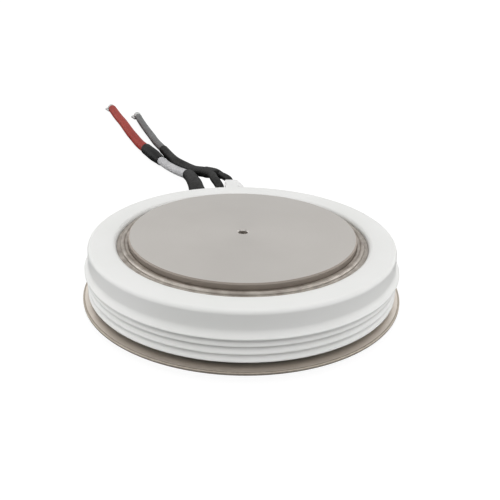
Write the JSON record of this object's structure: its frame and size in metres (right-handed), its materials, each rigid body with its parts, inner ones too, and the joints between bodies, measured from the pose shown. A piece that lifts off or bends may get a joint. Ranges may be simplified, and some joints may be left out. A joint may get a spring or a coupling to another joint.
{
  "type": "disc thyristor",
  "caption": "Press-pack disc thyristor with a ribbed white ceramic ring, flat nickel-plated pole faces for clamping between heat sinks, a thin welded flange and sleeved control leads.",
  "frame": {"origin": "centre of the lower (anode) pole face, on the surface that the capsule stands on", "axes": "+Z along the capsule's axis towards the cathode pole, +Y towards the back, where the leads leave the ring"},
  "size_m": [0.1693, 0.3644, 0.026],
  "materials": {
    "pole_nickel": "satin nickel plate over copper, turned face with fine rings",
    "flange_nickel": "dull nickel plate on thin sheet",
    "sheet_nickel": "bright nickel plate, brazed",
    "white_glaze": "smooth white glaze",
    "molybdenum": "ground",
    "silicon": "polished silicon",
    "silicone_rubber": "soft satin",
    "white_ptfe": "waxy satin",
    "silver_plate": "silver plate",
    "spring_steel": "satin",
    "copper_wire": "bright copper",
    "white_boot": "matt white silicone",
    "black_sleeve": "matt black shrink sleeve",
    "grey_insulation": "satin grey insulation",
    "white_insulation": "satin white insulation",
    "red_insulation": "satin red insulation",
    "tinned_copper": "dull tin plate"
  },
  "bodies": {
    "root": {"anode_pole": "pole_nickel", "cathode_pole": "pole_nickel", "anode_molybdenum_disc": "molybdenum", "cathode_molybdenum_disc": "molybdenum", "silicon_wafer": "silicon", "wafer_edge_seal": "silicone_rubber", "centring_ring": "white_ptfe", "gate_contact": "silver_plate", "gate_spring_discs": "spring_steel", "gate_insulator_cup": "white_ptfe", "gate_wire": "copper_wire", "gate_wire_sleeve": "white_ptfe", "return_wire": "copper_wire", "cathode_wire": "copper_wire", "anode_flange": "flange_nickel", "ceramic_weld_ring": "flange_nickel", "ceramic_ring": "white_glaze", "cathode_diaphragm": "sheet_nickel", "gate_terminal": "sheet_nickel", "return_terminal": "sheet_nickel", "cathode_terminal": "sheet_nickel", "gate_boot": "white_boot", "gate_pigtail": "black_sleeve", "return_pigtail": "black_sleeve", "gate_breakout": "black_sleeve", "gate_lead_sleeve": "black_sleeve", "gate_lead": "grey_insulation", "gate_ring_terminal": "tinned_copper", "cathode_boot": "black_sleeve", "cathode_pigtail": "white_insulation", "splice_sleeve": "black_sleeve", "red_lead": "red_insulation", "red_ring_terminal": "tinned_copper"}
  },
  "joints": []
}
